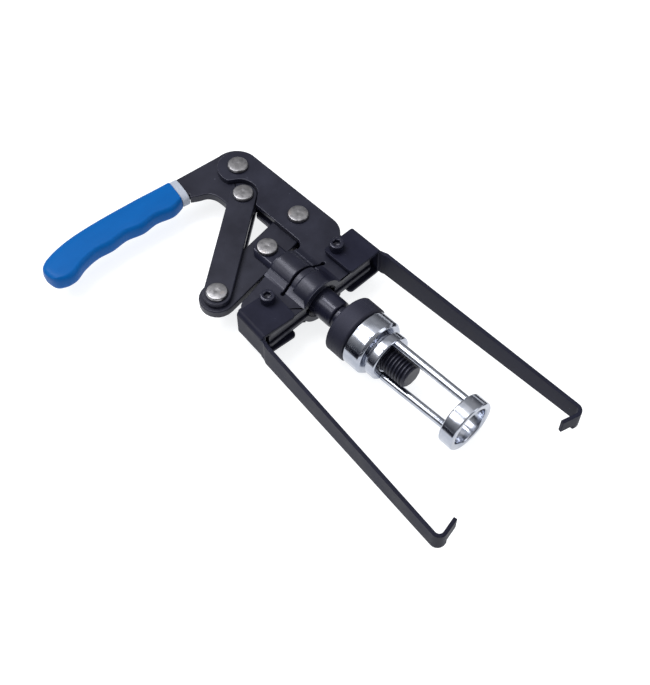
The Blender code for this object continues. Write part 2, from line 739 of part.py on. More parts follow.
def relief_mesh(name):
    """The lower half of the finger past its root, which is cut away to leave a tongue."""
    tip_y = STRIP_START[1] + (ARM_END_X - STRIP_START[0]) * math.tan(math.radians(STRIP_SLOPE))
    low = (ARM_END_X - 12 * MM, tip_y - FINGER_REACH - 4 * MM, -0.02)
    high = (ARM_END_X + 10 * MM, tip_y - 7.5 * MM, -3.4 * MM)
    return box_mesh(name, low, high)


def arm(name, side, swing):
    """A U bracket with a long strip and an inward finger; side is +1 or -1, swing in degrees."""
    place = Matrix.Translation((SCREW_X, side * SCREW_Y, 0))
    place = place @ Matrix.Rotation(math.radians(side * swing), 4, "Z")
    place = place @ Matrix.Diagonal((1, side, 1, 1)) @ Matrix.Translation((-SCREW_X, -SCREW_Y, 0))

    def placed(mesh):
        mesh.transform(place)
        return welded(mesh)

    made = add(name, placed(strip_mesh(name)), name, BLACK)
    cut(made, cutter(name + "_bracket", placed(bracket_mesh(name + "_bracket"))), "UNION")
    for label, x, outwards in (("back", BRACKET_BACK, -1), ("front", BRACKET_FRONT, 1)):
        corner = f"{name}_corner_{label}"
        cut(made, cutter(corner, placed(corner_mesh(corner, x, outwards))))
    relief = name + "_finger_relief"
    cut(made, cutter(relief, placed(relief_mesh(relief))))
    drill(made, (SCREW_X, side * SCREW_Y), SCREW_SHANK + HOLE_EASE)


def arm_fasteners(label, side):
    centre = (SCREW_X, side * SCREW_Y)
    seat = CHEEK_OUT + GAP
    top = seat + SCREW_HEAD_HEIGHT
    edge = 0.6 * MM
    socket_depth = 3.5 * MM
    tail = -CHEEK_OUT - 6.0 * MM
    profile = [
        (tail, 0),
        (tail, SCREW_SHANK - edge),
        (tail + edge, SCREW_SHANK),
        (seat, SCREW_SHANK),
        (seat, SCREW_HEAD_RADIUS),
        (top - edge, SCREW_HEAD_RADIUS),
        (top, SCREW_HEAD_RADIUS - edge),
        (top, 0),
    ]
    screw = turned(f"arm_screw_{label}", profile, "frame", BLACK, "Z", SMALL_STEPS, (*centre, 0))
    socket = f"socket_{label}"
    mesh = cylinder_mesh(socket, 2.9 * MM, 2 * socket_depth, 6)
    cut(screw, cutter(socket, mesh, (*centre, top)))

    nut_height = 5 * MM
    nut = f"arm_nut_{label}"
    low = -CHEEK_OUT - GAP - nut_height
    mesh = cylinder_mesh(nut, 5.77 * MM, nut_height, 6)
    made = add(nut, mesh, "frame", BLACK, (*centre, low + nut_height / 2))
    drill(made, centre, SCREW_SHANK + HOLE_EASE)


clear_scene()
PARTS = new_collection("valve_spring_compressor")
CUTTERS = new_collection("cutters")
BLACK = finish("black_steel", (0.022, 0.023, 0.030), 0.42, 0.6)
STEEL = finish("rivet_steel", (0.42, 0.41, 0.40), 0.38, 1.0)
ZINC = finish("zinc_plate", (0.72, 0.75, 0.78), 0.22, 1.0)
BLUE = finish("blue_vinyl", (0.0, 0.13, 0.48), 0.35, 0.0)
GREY = finish("grey_band", (0.44, 0.50, 0.57), 0.45, 0.0)

TOOL = empty("tool_frame", None, TOOL_ORIGIN)
AXES = {
    "frame": empty("frame_axis", TOOL),
    "handle": empty("handle_axis", TOOL, (*HANDLE_PIVOT, 0)),
    "link": empty("link_axis", TOOL, (*LINK_PIVOT, 0)),
    "crank": empty("crank_axis", TOOL, (*CRANK_PIVOT, 0)),
    "plunger": empty("plunger_axis", TOOL),
    "carrier": empty("carrier_axis", TOOL, (NUT_SPAN[0], 0, 0)),
    "lock_nut": empty("lock_nut_axis", TOOL, (NUT_SPAN[0], 0, 0)),
    "cage": empty("cage_axis", TOOL, (NUT_SPAN[0], 0, 0)),
    "arm_right": empty("arm_right_axis", TOOL, (SCREW_X, SCREW_Y, 0)),
    "arm_left": empty("arm_left_axis", TOOL, (SCREW_X, -SCREW_Y, 0)),
}

body_plate("front_body_plate", 1)
body_plate("rear_body_plate", -1)
flange_spacer("flange_spacer_right", 1)
flange_spacer("flange_spacer_left", -1)
handle_lever()
handle_grip()
grip_band()
link("front_link", 1)
link("rear_link", -1)
crank_lever()
rivet("handle_pivot_rivet", HANDLE_PIVOT, RIVET_SHANK, PLATE_OUT + GAP, "frame")
rivet("crank_pivot_rivet", CRANK_PIVOT, RIVET_SHANK, PLATE_OUT + GAP, "frame")
rivet("handle_link_rivet", LINK_PIVOT, RIVET_SHANK, PLATE_OUT + GAP, "link")
rivet("link_crank_rivet", LINK_END, END_RIVET_SHANK, PLATE_OUT + GAP, "link")
rivet("plunger_rivet", PLUNGER_PIVOT, RIVET_SHANK, PLATE_OUT + GAP, "plunger")
plunger()
thrust_washer()
lock_nut()
cage()
arm("arm_right", 1, 0)
arm("arm_left", -1, LEFT_ARM_SWING)
arm_fasteners("right", 1)
arm_fasteners("left", -1)
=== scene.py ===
"""Looks of the lever valve spring compressor: fine surfaces, materials, studio and camera.

Every piece stands where its CAD node stands. Lengths are in metres, and MM turns millimetres into
them. The tool lies flat with +X along the plunger, and its axis runs through the plunger's rivet.
"""

import json
import math

import bmesh
import bpy
from mathutils import Matrix, Vector, noise


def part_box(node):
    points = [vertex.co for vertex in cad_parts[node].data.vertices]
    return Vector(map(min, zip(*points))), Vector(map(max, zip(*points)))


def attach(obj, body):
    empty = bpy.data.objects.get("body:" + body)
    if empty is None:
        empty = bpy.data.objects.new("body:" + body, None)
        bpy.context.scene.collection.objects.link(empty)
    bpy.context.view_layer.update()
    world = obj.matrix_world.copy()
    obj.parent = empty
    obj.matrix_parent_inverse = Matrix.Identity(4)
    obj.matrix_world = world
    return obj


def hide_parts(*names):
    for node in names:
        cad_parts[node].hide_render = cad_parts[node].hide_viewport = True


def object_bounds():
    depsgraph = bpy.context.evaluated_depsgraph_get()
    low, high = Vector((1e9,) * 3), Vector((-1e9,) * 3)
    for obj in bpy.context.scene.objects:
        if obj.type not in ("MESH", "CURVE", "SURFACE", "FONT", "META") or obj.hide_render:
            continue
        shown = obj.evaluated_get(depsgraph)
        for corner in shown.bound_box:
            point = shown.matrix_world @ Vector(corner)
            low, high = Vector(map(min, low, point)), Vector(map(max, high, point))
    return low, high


MM = 0.001

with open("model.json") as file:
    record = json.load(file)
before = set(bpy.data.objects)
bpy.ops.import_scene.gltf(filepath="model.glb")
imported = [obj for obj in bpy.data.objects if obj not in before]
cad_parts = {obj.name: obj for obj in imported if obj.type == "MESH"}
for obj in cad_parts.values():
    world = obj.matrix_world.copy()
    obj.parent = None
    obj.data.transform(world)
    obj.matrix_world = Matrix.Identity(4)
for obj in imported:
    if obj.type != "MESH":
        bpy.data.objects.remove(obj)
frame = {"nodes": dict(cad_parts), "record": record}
CAD_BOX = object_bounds()


def middle(node):
    low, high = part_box(node)
    return (low + high) / 2


def half_width(node):
    """Half of a round node's size across the tool, its radius."""
    low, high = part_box(node)
    return (high.y - low.y) / 2


ORIGIN = middle("plunger_rivet")
BODIES = frame["record"]["behaviour"]["bodies"]
BODY_OF = {node: body for body, nodes in BODIES.items() for node in nodes}


# Materials ---------------------------------------------------------------------------------------

# The Mix node's colour sockets, which share their names with its other sockets.
MIX_SHARE, MIX_FIRST, MIX_SECOND = 0, 6, 7
MIX_RESULT = 2

# Linear colours.
OXIDE_DARK = (0.009, 0.0095, 0.020)
OXIDE_LIGHT = (0.015, 0.016, 0.031)
OXIDE_SPECK = (0.15, 0.16, 0.22, 1)
# Edge colour: partly bare worn steel, partly a painted highlight along the edges.
OXIDE_WEAR_AND_HIGHLIGHT = (0.11, 0.12, 0.17, 1)
RIVET_DARK = (0.17, 0.168, 0.18, 1)
RIVET_LIGHT = (0.34, 0.337, 0.352, 1)
RIVET_HEATED = (0.42, 0.33, 0.27, 1)
RIVET_PIT = (0.12, 0.115, 0.12, 1)
ZINC_DARK = (0.36, 0.385, 0.45, 1)
ZINC_LIGHT = (0.46, 0.48, 0.54, 1)
ZINC_LINE = (0.30, 0.32, 0.37, 1)


def add_node(material, kind, inputs=None, **settings):
    """A shader node; inputs maps a socket to a value or to another node's output."""
    made = material.node_tree.nodes.new(kind)
    for name, value in settings.items():
        setattr(made, name, value)
    for name, value in (inputs or {}).items():
        if isinstance(value, bpy.types.NodeSocket):
            material.node_tree.links.new(value, made.inputs[name])
        else:
            made.inputs[name].default_value = value
    return made


def place(material, scale=(1, 1, 1)):
    """The point on the piece, in metres, stretched by scale."""
    coordinates = add_node(material, "ShaderNodeTexCoord").outputs["Object"]
    inputs = {"Vector": coordinates, "Scale": scale}
    return add_node(material, "ShaderNodeMapping", inputs).outputs["Vector"]


def noise_of(material, vector, size, detail=3.0, roughness=0.55):
    """Noise from 0 to 1 whose features are about size metres wide."""
    inputs = {"Vector": vector, "Scale": 1 / size, "Detail": detail, "Roughness": roughness}
    return add_node(material, "ShaderNodeTexNoise", inputs).outputs["Fac"]


def ramp(material, value, low, high, start=0.0, end=1.0):
    """value's range from low to high, stretched from start to end and held outside it."""
    inputs = {"Value": value, "From Min": low, "From Max": high, "To Min": start, "To Max": end}
    return add_node(material, "ShaderNodeMapRange", inputs).outputs["Result"]


def times(material, a, b):
    return add_node(material, "ShaderNodeMath", {0: a, 1: b}, operation="MULTIPLY").outputs[0]


def plus(material, a, b):
    return add_node(material, "ShaderNodeMath", {0: a, 1: b}, operation="ADD").outputs[0]


def blend_colour(material, share, first, second):
    """The first colour where share is 0, the second where it is 1."""
    sockets = {MIX_SHARE: share, MIX_FIRST: first, MIX_SECOND: second}
    return add_node(material, "ShaderNodeMix", sockets, data_type="RGBA").outputs[MIX_RESULT]


def surface(name, metallic=0.0, specular=0.5):
    material = bpy.data.materials.new(name)
    material.use_nodes = True
    shader = material.node_tree.nodes["Principled BSDF"]
    shader.inputs["Metallic"].default_value = metallic
    shader.inputs["Specular IOR Level"].default_value = specular
    return material


def dress(material, colour, roughness, height, depth):
    """Links colour, roughness and relief; height is a 0 to 1 field that stands depth metres tall."""
    links = material.node_tree.links
    shader = material.node_tree.nodes["Principled BSDF"]
    links.new(colour, shader.inputs["Base Color"])
    links.new(roughness, shader.inputs["Roughness"])
    bump = add_node(material, "ShaderNodeBump", {"Strength": 1.0, "Distance": depth, "Height": height})
    links.new(bump.outputs["Normal"], shader.inputs["Normal"])
    return material


def black_oxide(name, tone=1.0, grain=0.35, sheen=(0.34, 0.50), metallic=0.3, specular=0.42):
    """Blued steel: nearly black, a little blue, with handling marks, specks and bright edges that are
    partly wear and partly a painted highlight.
    """
    material = surface(name, metallic=metallic, specular=specular)
    point = place(material)
    cloud = noise_of(material, point, 22 * MM, 5, 0.6)
    fine = noise_of(material, point, grain * MM, 2, 0.5)
    scuff = noise_of(material, place(material, (1.0, 0.12, 1.0)), 1.1 * MM, 4, 0.7)
    dark = (*(tone * part for part in OXIDE_DARK), 1)
    light = (*(tone * part for part in OXIDE_LIGHT), 1)
    colour = blend_colour(material, ramp(material, cloud, 0.35, 0.7), dark, light)
    specks = add_node(material, "ShaderNodeTexVoronoi", {"Vector": point, "Scale": 1 / (5 * MM)})
    speck = ramp(material, specks.outputs["Distance"], 0.05, 0.11, 1.0, 0.0)
    patches = ramp(material, noise_of(material, point, 9 * MM, 2), 0.56, 0.66)
    marks = times(material, times(material, speck, patches), 0.5)
    colour = blend_colour(material, marks, colour, OXIDE_SPECK)

    # Near an edge the rounded normal turns away from the surface's own.
    rounded = add_node(material, "ShaderNodeBevel", {"Radius": 0.5 * MM}).outputs["Normal"]
    flat = add_node(material, "ShaderNodeNewGeometry").outputs["Normal"]
    dot = add_node(material, "ShaderNodeVectorMath", {0: rounded, 1: flat}, operation="DOT_PRODUCT")
    edge = ramp(material, dot.outputs["Value"], 0.86, 0.99, 1.0, 0.0)
    # Edges lightened: partly wear, partly a painted highlight line along every rounded edge.
    wear_and_highlight = times(material, edge, ramp(material, cloud, 0.3, 0.7, 0.15, 0.5))
    colour = blend_colour(material, wear_and_highlight, colour, OXIDE_WEAR_AND_HIGHLIGHT)

    rough = ramp(material, cloud, 0.3, 0.75, sheen[0], sheen[1])
    rough = plus(material, rough, ramp(material, scuff, 0.55, 0.8, 0.0, 0.09))
    return dress(material, colour, rough, fine, 0.012 * MM)


def rivet_steel(name):
    """Bare peened steel, dull, with grey smudges, small pits and a trace of heat colour."""
    material = surface(name, metallic=1.0)
    point = place(material)
    smudge = noise_of(material, point, 3.2 * MM, 4, 0.6)
    spots = noise_of(material, point, 1.6 * MM, 2, 0.5)
    warm = noise_of(material, point, 6 * MM, 2)
    colour = blend_colour(material, ramp(material, smudge, 0.35, 0.65), RIVET_DARK, RIVET_LIGHT)
    colour = blend_colour(material, ramp(material, warm, 0.62, 0.74, 0.0, 0.22), colour, RIVET_HEATED)
    colour = blend_colour(material, ramp(material, spots, 0.64, 0.72, 0.0, 0.55), colour, RIVET_PIT)
    rough = ramp(material, smudge, 0.3, 0.7, 0.42, 0.32)
    return dress(material, colour, rough, noise_of(material, point, 0.9 * MM, 3), 0.012 * MM)


def zinc_plate(name, rough=(0.13, 0.24), turned=True):
    """Bright zinc: fine lines round the axis, or along a drawn rod, under faint blue clouds."""
    material = surface(name, metallic=1.0)
    lines = place(material, (1.0, 0.02, 0.02) if turned else (0.03, 1.0, 1.0))
    line = noise_of(material, lines, 0.22 * MM, 3, 0.6)
    cloud = noise_of(material, place(material), 9 * MM, 3)
    colour = blend_colour(material, ramp(material, cloud, 0.35, 0.65), ZINC_DARK, ZINC_LIGHT)
    colour = blend_colour(material, ramp(material, line, 0.6, 0.85, 0.0, 0.35), colour, ZINC_LINE)
    wear = ramp(material, cloud, 0.3, 0.7, rough[0], rough[1])
    return dress(material, colour, wear, line, 0.004 * MM)


def vinyl(name, dark, light, rough=(0.36, 0.46)):
    """Dipped vinyl: even colour, soft gloss and a skin that isn't quite level."""
    material = surface(name, specular=0.10)
    point = place(material)
    flow = noise_of(material, place(material, (1.0, 0.4, 1.0)), 12 * MM, 3)
    colour = blend_colour(material, ramp(material, flow, 0.3, 0.7), dark, light)
    fine = noise_of(material, point, 0.6 * MM, 2)
    relief = plus(material, times(material, flow, 6.0), fine)
    rough = ramp(material, fine, 0.3, 0.7, rough[0], rough[1])
    return dress(material, colour, rough, relief, 0.010 * MM)


BLACK = black_oxide("black_oxide_steel")
FORMED = black_oxide("formed_black_steel", 1.1, 0.5, (0.30, 0.44))
GROUND = black_oxide("ground_black_steel", 1.25, 0.25, (0.22, 0.36))
TEXTURED = black_oxide("textured_black_steel", 1.4, 0.6, (0.55, 0.68))
STRIP = black_oxide("strip_black_steel", 1.0, 0.4, (0.42, 0.56), 0.0, 0.09)
RIVET = rivet_steel("peened_rivet_steel")
ZINC = zinc_plate("bright_zinc")
ZINC_ROD = zinc_plate("bright_zinc_rod", (0.08, 0.16), False)
BLUE = vinyl("blue_dipped_vinyl", (0.0, 0.085, 0.315, 1), (0.0, 0.093, 0.34, 1))
GREY = vinyl("grey_dipped_vinyl", (0.34, 0.375, 0.445, 1), (0.38, 0.41, 0.48, 1), (0.5, 0.6))


# Mesh building -----------------------------------------------------------------------------------

WELD = 1e-6


def to_piece(name, work, material, node, replaces=True, smooth=35):
    """Makes an object of the bmesh and lets it stand for the CAD node, on that node's body."""
    mesh = bpy.data.meshes.new(name)
    bmesh.ops.recalc_face_normals(work, faces=work.faces)
    work.to_mesh(mesh)
    work.free()
    mesh.materials.append(material)
    mesh.shade_smooth()
    mesh.set_sharp_from_angle(angle=math.radians(smooth))
    piece = bpy.data.objects.new(name, mesh)
    bpy.context.scene.collection.objects.link(piece)
    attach(piece, BODY_OF[node])
    if replaces:
        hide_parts(node)
    return piece


def cad_bmesh(node):
    """The node's mesh, welded and with its flat faces whole again."""
    work = bmesh.new()
    work.from_mesh(frame["nodes"][node].data)
    bmesh.ops.remove_doubles(work, verts=work.verts, dist=0.01 * MM)
    bmesh.ops.dissolve_limit(work, angle_limit=math.radians(1), verts=work.verts, edges=work.edges)
    return work


def softened(node, width, material, segments=3, work=None, smooth=35):
    """The CAD node's shape with its sharp edges rounded to width."""
    work = work or cad_bmesh(node)
    piece = to_piece(node + "_finished", work, material, node, smooth=smooth)
    bevel = piece.modifiers.new("edges", "BEVEL")
    bevel.width = width
    bevel.segments = segments
    bevel.limit_method = "ANGLE"
    bevel.angle_limit = math.radians(32)
    bevel.use_clamp_overlap = False
    bevel.miter_outer = "MITER_ARC"
    normals = piece.modifiers.new("flat_faces", "WEIGHTED_NORMAL")
    normals.mode = "FACE_AREA"
    normals.weight = 100
    normals.keep_sharp = True


def eased(profile, radius, steps=4, closed=False):
    """The profile with its corners rounded to about radius, or to half of the shorter side."""
    points = [Vector(p) for p in profile]
    if closed:
        points = [points[-1], *points, points[0]]
    rounded = [] if closed else [points[0]]
    for before, corner, after in zip(points, points[1:], points[2:]):
        reach = min(radius, 0.48 * (corner - before).length, 0.48 * (after - corner).length)
        a = corner + (before - corner).normalized() * reach
        b = corner + (after - corner).normalized() * reach
        for i in range(steps + 1):
            t = i / steps
            rounded.append(a * (1 - t) ** 2 + corner * 2 * t * (1 - t) + b * t**2)
    if not closed:
        rounded.append(points[-1])
    return [tuple(p) for p in rounded]


def revolve(stations, steps=96, closed=False):
    """A surface about +Z. Stations are (height, radius); a radius may be a function of the angle."""
    work = bmesh.new()
    rings = []
    for height, radius in stations:
        ring = []
        for i in range(steps):
            angle = 2 * math.pi * i / steps
            reach = radius(angle) if callable(radius) else radius
            ring.append(work.verts.new((reach * math.cos(angle), reach * math.sin(angle), height)))
        rings.append(ring)
    pairs = list(zip(rings, rings[1:])) + ([(rings[-1], rings[0])] if closed else [])
    for low, high in pairs:
        for i in range(steps):
            after = (i + 1) % steps
            work.faces.new((low[i], low[after], high[after], high[i]))
    bmesh.ops.remove_doubles(work, verts=work.verts, dist=WELD)
    return work


def on_axis(work):
    """Turns a bmesh made about +Z onto the plunger's axis; heights become world X."""
    along_x = Matrix.Rotation(math.pi / 2, 4, "Y")
    work.transform(Matrix.Translation((0, ORIGIN.y, ORIGIN.z)) @ along_x)
    return work


# Rivets ------------------------------------------------------------------------------------------

HEAD_DEPTH = 2.8 * MM
RIM_HEIGHT = 1.15 * MM
SHOULDER_RISE = 0.75 * MM
DOME_RISE = 0.9 * MM
DOME_DIP = 0.22 * MM
HAMMER_MARK = 0.10 * MM


def rivet(node):
    """A peened rivet: a straight rim, a rounded shoulder and a low dome that dips in the middle."""
    centre = middle(node)
    low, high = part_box(node)
    top = (high.z - low.z) / 2
    radius = half_width(node)
    seat = top - HEAD_DEPTH
    rim = seat + RIM_HEIGHT
    shank = 2.7 * MM if node == "link_crank_rivet" else 4.0 * MM

    head = [(seat, shank), (seat, radius - 0.25 * MM), (seat + 0.35 * MM, radius), (rim, radius)]
    for share in (0.93, 0.85, 0.72, 0.58, 0.44, 0.32, 0.22, 0.13, 0.05):
        rise = SHOULDER_RISE + DOME_RISE * math.sqrt(1 - share**2)
        dip = DOME_DIP * math.exp(-((share / 0.22) ** 2))
        head.append((rim + rise - dip, radius * share))
    head.append((head[-1][0], 0.0))
    profile = [(-height, reach) for height, reach in reversed(head)] + head
    work = revolve(eased(profile, 0.35 * MM, 3), 64)
    for vertex in work.verts:
        reach = Vector((vertex.co.x, vertex.co.y)).length
        if abs(vertex.co.z) > seat + 1.2 * MM:
            mark = max(0.0, noise.noise((vertex.co + centre) / (2.4 * MM)))
            vertex.co.z -= math.copysign(HAMMER_MARK * mark * (1 - reach / radius), vertex.co.z)
    work.transform(Matrix.Translation(centre))
    to_piece(node + "_finished", work, RIVET, node)


for rivet_node in (
    "handle_pivot_rivet",
    "crank_pivot_rivet",
    "handle_link_rivet",
    "link_crank_rivet",
    "plunger_rivet",
):
    rivet(rivet_node)


# Plates, levers and arms -------------------------------------------------------------------------

for plate in ("front_body_plate", "rear_body_plate"):
    softened(plate, 0.55 * MM, FORMED, smooth=16)
softened("handle_lever", 0.7 * MM, BLACK)
softened("crank_lever", 0.8 * MM, BLACK)
for link in ("front_link", "rear_link"):
    softened(link, 0.6 * MM, BLACK)
for arm in ("arm_right", "arm_left"):
    softened(arm, 0.55 * MM, STRIP)
for block in ("flange_spacer_right", "flange_spacer_left"):
    softened(block, 0.3 * MM, BLACK, segments=2)


# Arm screws and nuts -----------------------------------------------------------------------------

SCREW_RADIUS = 3.0 * MM
SCREW_PITCH = 1.0 * MM
SCREW_THREAD = 7.5 * MM
HEAD_HEIGHT = 6.0 * MM
HEAD_RIBS = 30
HEAD_KNURL = 0.22 * MM
SOCKET_FLATS = 5.0 * MM
SOCKET_DEPTH = 3.3 * MM
NUT_FLATS = 10.0 * MM
NUT_BORE = 3.35 * MM


def hexagon(across_flats):
    """A radius function for a hexagonal hole or bar."""

    def reach(angle):
        inside = (angle + math.pi / 6) % (math.pi / 3) - math.pi / 6
        return across_flats / 2 / math.cos(inside)

    return reach


def arm_screw(node):
    """A socket cap screw with a knurled head, a hexagon socket and a threaded tail."""
    centre = middle(node)
    low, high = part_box(node)
    top = high.z
    radius = half_width(node)
    seat = top - HEAD_HEIGHT
    shank = SCREW_RADIUS

    def knurled(angle):
        return radius - HEAD_KNURL * (0.5 + 0.5 * math.cos(HEAD_RIBS * angle))

    socket = hexagon(SOCKET_FLATS)
    stations = [(low.z, 0.0), (low.z, shank - 0.7 * MM), (low.z + 0.6 * MM, shank)]
    height = low.z + 1.0 * MM
    while height < low.z + SCREW_THREAD:
        stations += [(height, shank), (height + SCREW_PITCH / 2, shank - 0.55 * MM)]
        height += SCREW_PITCH
    stations += [(seat, shank), (seat, radius - 0.3 * MM), (seat + 0.3 * MM, radius - 0.05 * MM)]
    stations += [(seat + 0.7 * MM, knurled), (top - 1.2 * MM, knurled)]
    stations += [(top - 0.8 * MM, radius - 0.05 * MM), (top - 0.3 * MM, radius - 0.25 * MM)]
    stations += [(top, radius - 0.75 * MM), (top, 3.25 * MM), (top - 0.25 * MM, 2.95 * MM)]
    stations += [(top - 0.45 * MM, socket), (top - SOCKET_DEPTH, socket)]
    stations += [(top - 3.9 * MM, 1.6 * MM), (top - 4.2 * MM, 0.0)]
    work = revolve(stations, 120)
    work.transform(Matrix.Translation((centre.x, centre.y, 0)))
    to_piece(node + "_finished", work, GROUND, node)


def arm_nut(node):
    """A hexagon nut, its corners turned off on both faces."""
    centre = middle(node)
    low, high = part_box(node)
    hexagonal = hexagon(NUT_FLATS)

    def turned_off(limit):
        return lambda angle: min(hexagonal(angle), limit)

    face = turned_off(NUT_FLATS / 2 - 0.2 * MM)
    corner = turned_off(NUT_FLATS / 2 + 0.3 * MM)
    countersink = NUT_BORE + 0.4 * MM
    stations = [(low.z + 0.5 * MM, NUT_BORE), (low.z, countersink), (low.z, face)]
    stations += [(low.z + 0.25 * MM, corner), (low.z + 0.6 * MM, hexagonal)]
    stations += [(high.z - 0.6 * MM, hexagonal), (high.z - 0.25 * MM, corner)]
    stations += [(high.z, face), (high.z, countersink), (high.z - 0.5 * MM, NUT_BORE)]
    work = revolve(stations, 96, closed=True)
    turn = Matrix.Rotation(math.pi / 6, 4, "Z")
    work.transform(Matrix.Translation((centre.x, centre.y, 0)) @ turn)
    to_piece(node + "_finished", work, BLACK, node)


for label in ("right", "left"):
    arm_screw("arm_screw_" + label)
    arm_nut("arm_nut_" + label)


# Plunger and its thread --------------------------------------------------------------------------

THREAD_PITCH = 2.5 * MM
THREAD_DEPTH = 1.5 * MM
THREAD_RADIUS = 8.9 * MM
THREAD_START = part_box("thrust_washer")[0].x - 0.3 * MM
THREAD_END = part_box("plunger")[1].x
THREAD_COLUMNS = 72
ROWS_A_TURN = 10


def thread():
    """The adjuster thread: rows that follow the helix, and close over each end towards the axis."""
    length = (THREAD_END - THREAD_START) / THREAD_PITCH  # in turns
    rows = math.ceil((length + 2) * ROWS_A_TURN) + 1
    root = THREAD_RADIUS - THREAD_DEPTH
    end_reach = root + 0.15 * MM
    work = bmesh.new()
    grid = []
    for column in range(THREAD_COLUMNS):
        part = column / THREAD_COLUMNS
        angle = 2 * math.pi * part
        line = []
        for row in range(rows):
            turn = row / ROWS_A_TURN + part - 1
            x = THREAD_START + THREAD_PITCH * min(max(turn, 0.0), length)
            flank = abs((turn - part) % 1 * 2 - 1)
            reach = root + THREAD_DEPTH * min(1.0, max(0.0, (flank - 0.15) / 0.62))
            reach = min(reach, end_reach + min(x - THREAD_START, THREAD_END - x) * 0.9)
            beyond = max(-turn, turn - length)
            if beyond > 0:
                reach = end_reach * max(0.0, 1 - beyond / 0.8)
            line.append(work.verts.new((reach * math.cos(angle), reach * math.sin(angle), x)))
        grid.append(line)
    for column in range(THREAD_COLUMNS):
        wraps = column == THREAD_COLUMNS - 1
        this, other = grid[column], grid[0 if wraps else column + 1]
        shift = ROWS_A_TURN if wraps else 0
        for row in range(rows - 1 - shift):
            corners = (this[row], this[row + 1], other[row + 1 + shift], other[row + shift])
            work.faces.new(corners)
    bmesh.ops.remove_doubles(work, verts=work.verts, dist=WELD)
    bmesh.ops.dissolve_degenerate(work, edges=work.edges, dist=WELD)
    bmesh.ops.holes_fill(work, edges=work.edges)
    on_axis(work)
    to_piece("plunger_thread", work, BLACK, "plunger", replaces=False, smooth=50)


def plunger():
    """The forked shaft, its plain stand-in for the thread cut away."""
    work = cad_bmesh("plunger")
    cut = bmesh.ops.bisect_plane(
        work,
        geom=[*work.verts, *work.edges, *work.faces],
        plane_co=(THREAD_START, 0, 0),
        plane_no=(1, 0, 0),
        clear_outer=True,
    )
    edges = [item for item in cut["geom_cut"] if isinstance(item, bmesh.types.BMEdge)]
    bmesh.ops.holes_fill(work, edges=edges)
    softened("plunger", 0.5 * MM, GROUND, work=work)


plunger()
thread()


# Washer, lock nut and collar ---------------------------------------------------------------------

NUT_RIBS = 110
NUT_CREST = 0.16 * MM
NUT_SLANT = 2.4  # how far a knurl line shifts over the nut's length, in rib pitches
NUT_EDGE = 1.1 * MM
NUT_ROWS = 26
COLLAR_SHOULDER = ORIGIN.x + 107.0 * MM
COLLAR_GROOVE = ORIGIN.x + 109.4 * MM
COLLAR_GROOVE_RADIUS = 13.2 * MM
COLLAR_FLANGE_RADIUS = 16.7 * MM


def ring_span(node):
    low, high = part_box(node)
    return low.x, high.x, half_width(node)


def thrust_washer():
    back, front, radius = ring_span("thrust_washer")
    bore = THREAD_RADIUS + 0.15 * MM
    profile = [(back, bore), (back, radius), (front, radius), (front, bore)]
    work = on_axis(revolve(eased(profile, 0.4 * MM, closed=True), closed=True))
    to_piece("thrust_washer_finished", work, GROUND, "thrust_washer")


def lock_nut():
    """A round nut whose rim is finely knurled."""
    back, front, radius = ring_span("lock_nut")
    bore = THREAD_RADIUS + 0.1 * MM

    def knurled(share):
        def reach(angle):
            left = math.cos(NUT_RIBS * angle + share * NUT_SLANT * 2 * math.pi)
            right = math.cos(NUT_RIBS * angle - share * NUT_SLANT * 2 * math.pi)
            return radius - NUT_CREST * (0.5 - 0.25 * (left + right))

        return reach

    stations = [(back + 0.9 * MM, bore), (back, bore + 0.9 * MM), (back, radius - 2.2 * MM)]
    stations += [(back + 0.25 * MM, radius - 1.3 * MM), (back + NUT_EDGE, radius - NUT_CREST)]
    for row in range(NUT_ROWS + 1):
        share = row / NUT_ROWS
        x = back + NUT_EDGE + 0.2 * MM + (front - back - 2 * NUT_EDGE - 0.4 * MM) * share
        stations.append((x, knurled(share)))
    stations += [(front - NUT_EDGE, radius - NUT_CREST), (front - 0.25 * MM, radius - 1.3 * MM)]
    stations += [(front, radius - 2.2 * MM), (front, bore + 0.9 * MM), (front - 0.9 * MM, bore)]
    work = on_axis(revolve(stations, 440, closed=True))
    to_piece("lock_nut_finished", work, TEXTURED, "lock_nut", smooth=60)


def cage_collar():
    """The threaded collar: a wide barrel, a groove and a smaller flange that holds the rods."""
    back, front, radius = ring_span("cage_collar")
    bore = THREAD_RADIUS + 0.1 * MM
    shoulder, groove, flange = COLLAR_SHOULDER, COLLAR_GROOVE, COLLAR_FLANGE_RADIUS
    profile = [
        (back, bore + 0.8 * MM),
        (back, radius - 0.9 * MM),
        (back + 0.9 * MM, radius),
        (shoulder - 1.8 * MM, radius),
        (shoulder, radius - 1.6 * MM),
        (shoulder, COLLAR_GROOVE_RADIUS),
        (groove, COLLAR_GROOVE_RADIUS),
        (groove, flange - 0.8 * MM),
        (groove + 0.8 * MM, flange),
        (front - 0.8 * MM, flange),
        (front, flange - 0.8 * MM),
        (front, bore + 0.9 * MM),
        (front - 0.9 * MM, bore),
        (back + 0.8 * MM, bore),
    ]
    work = on_axis(revolve(eased(profile, 0.45 * MM, closed=True), 128, closed=True))
    to_piece("cage_collar_finished", work, ZINC, "cage_collar")


thrust_washer()
lock_nut()
cage_collar()


# Ring foot and its rods --------------------------------------------------------------------------

RING_BORE = 13.9 * MM
ROD_RADIUS = 2.95 * MM
ROD_GAP = 0.35 * MM
ROD_CHAMFER = 0.35 * MM
ROD_ROWS = 24
PIN_RADIUS = 0.95 * MM


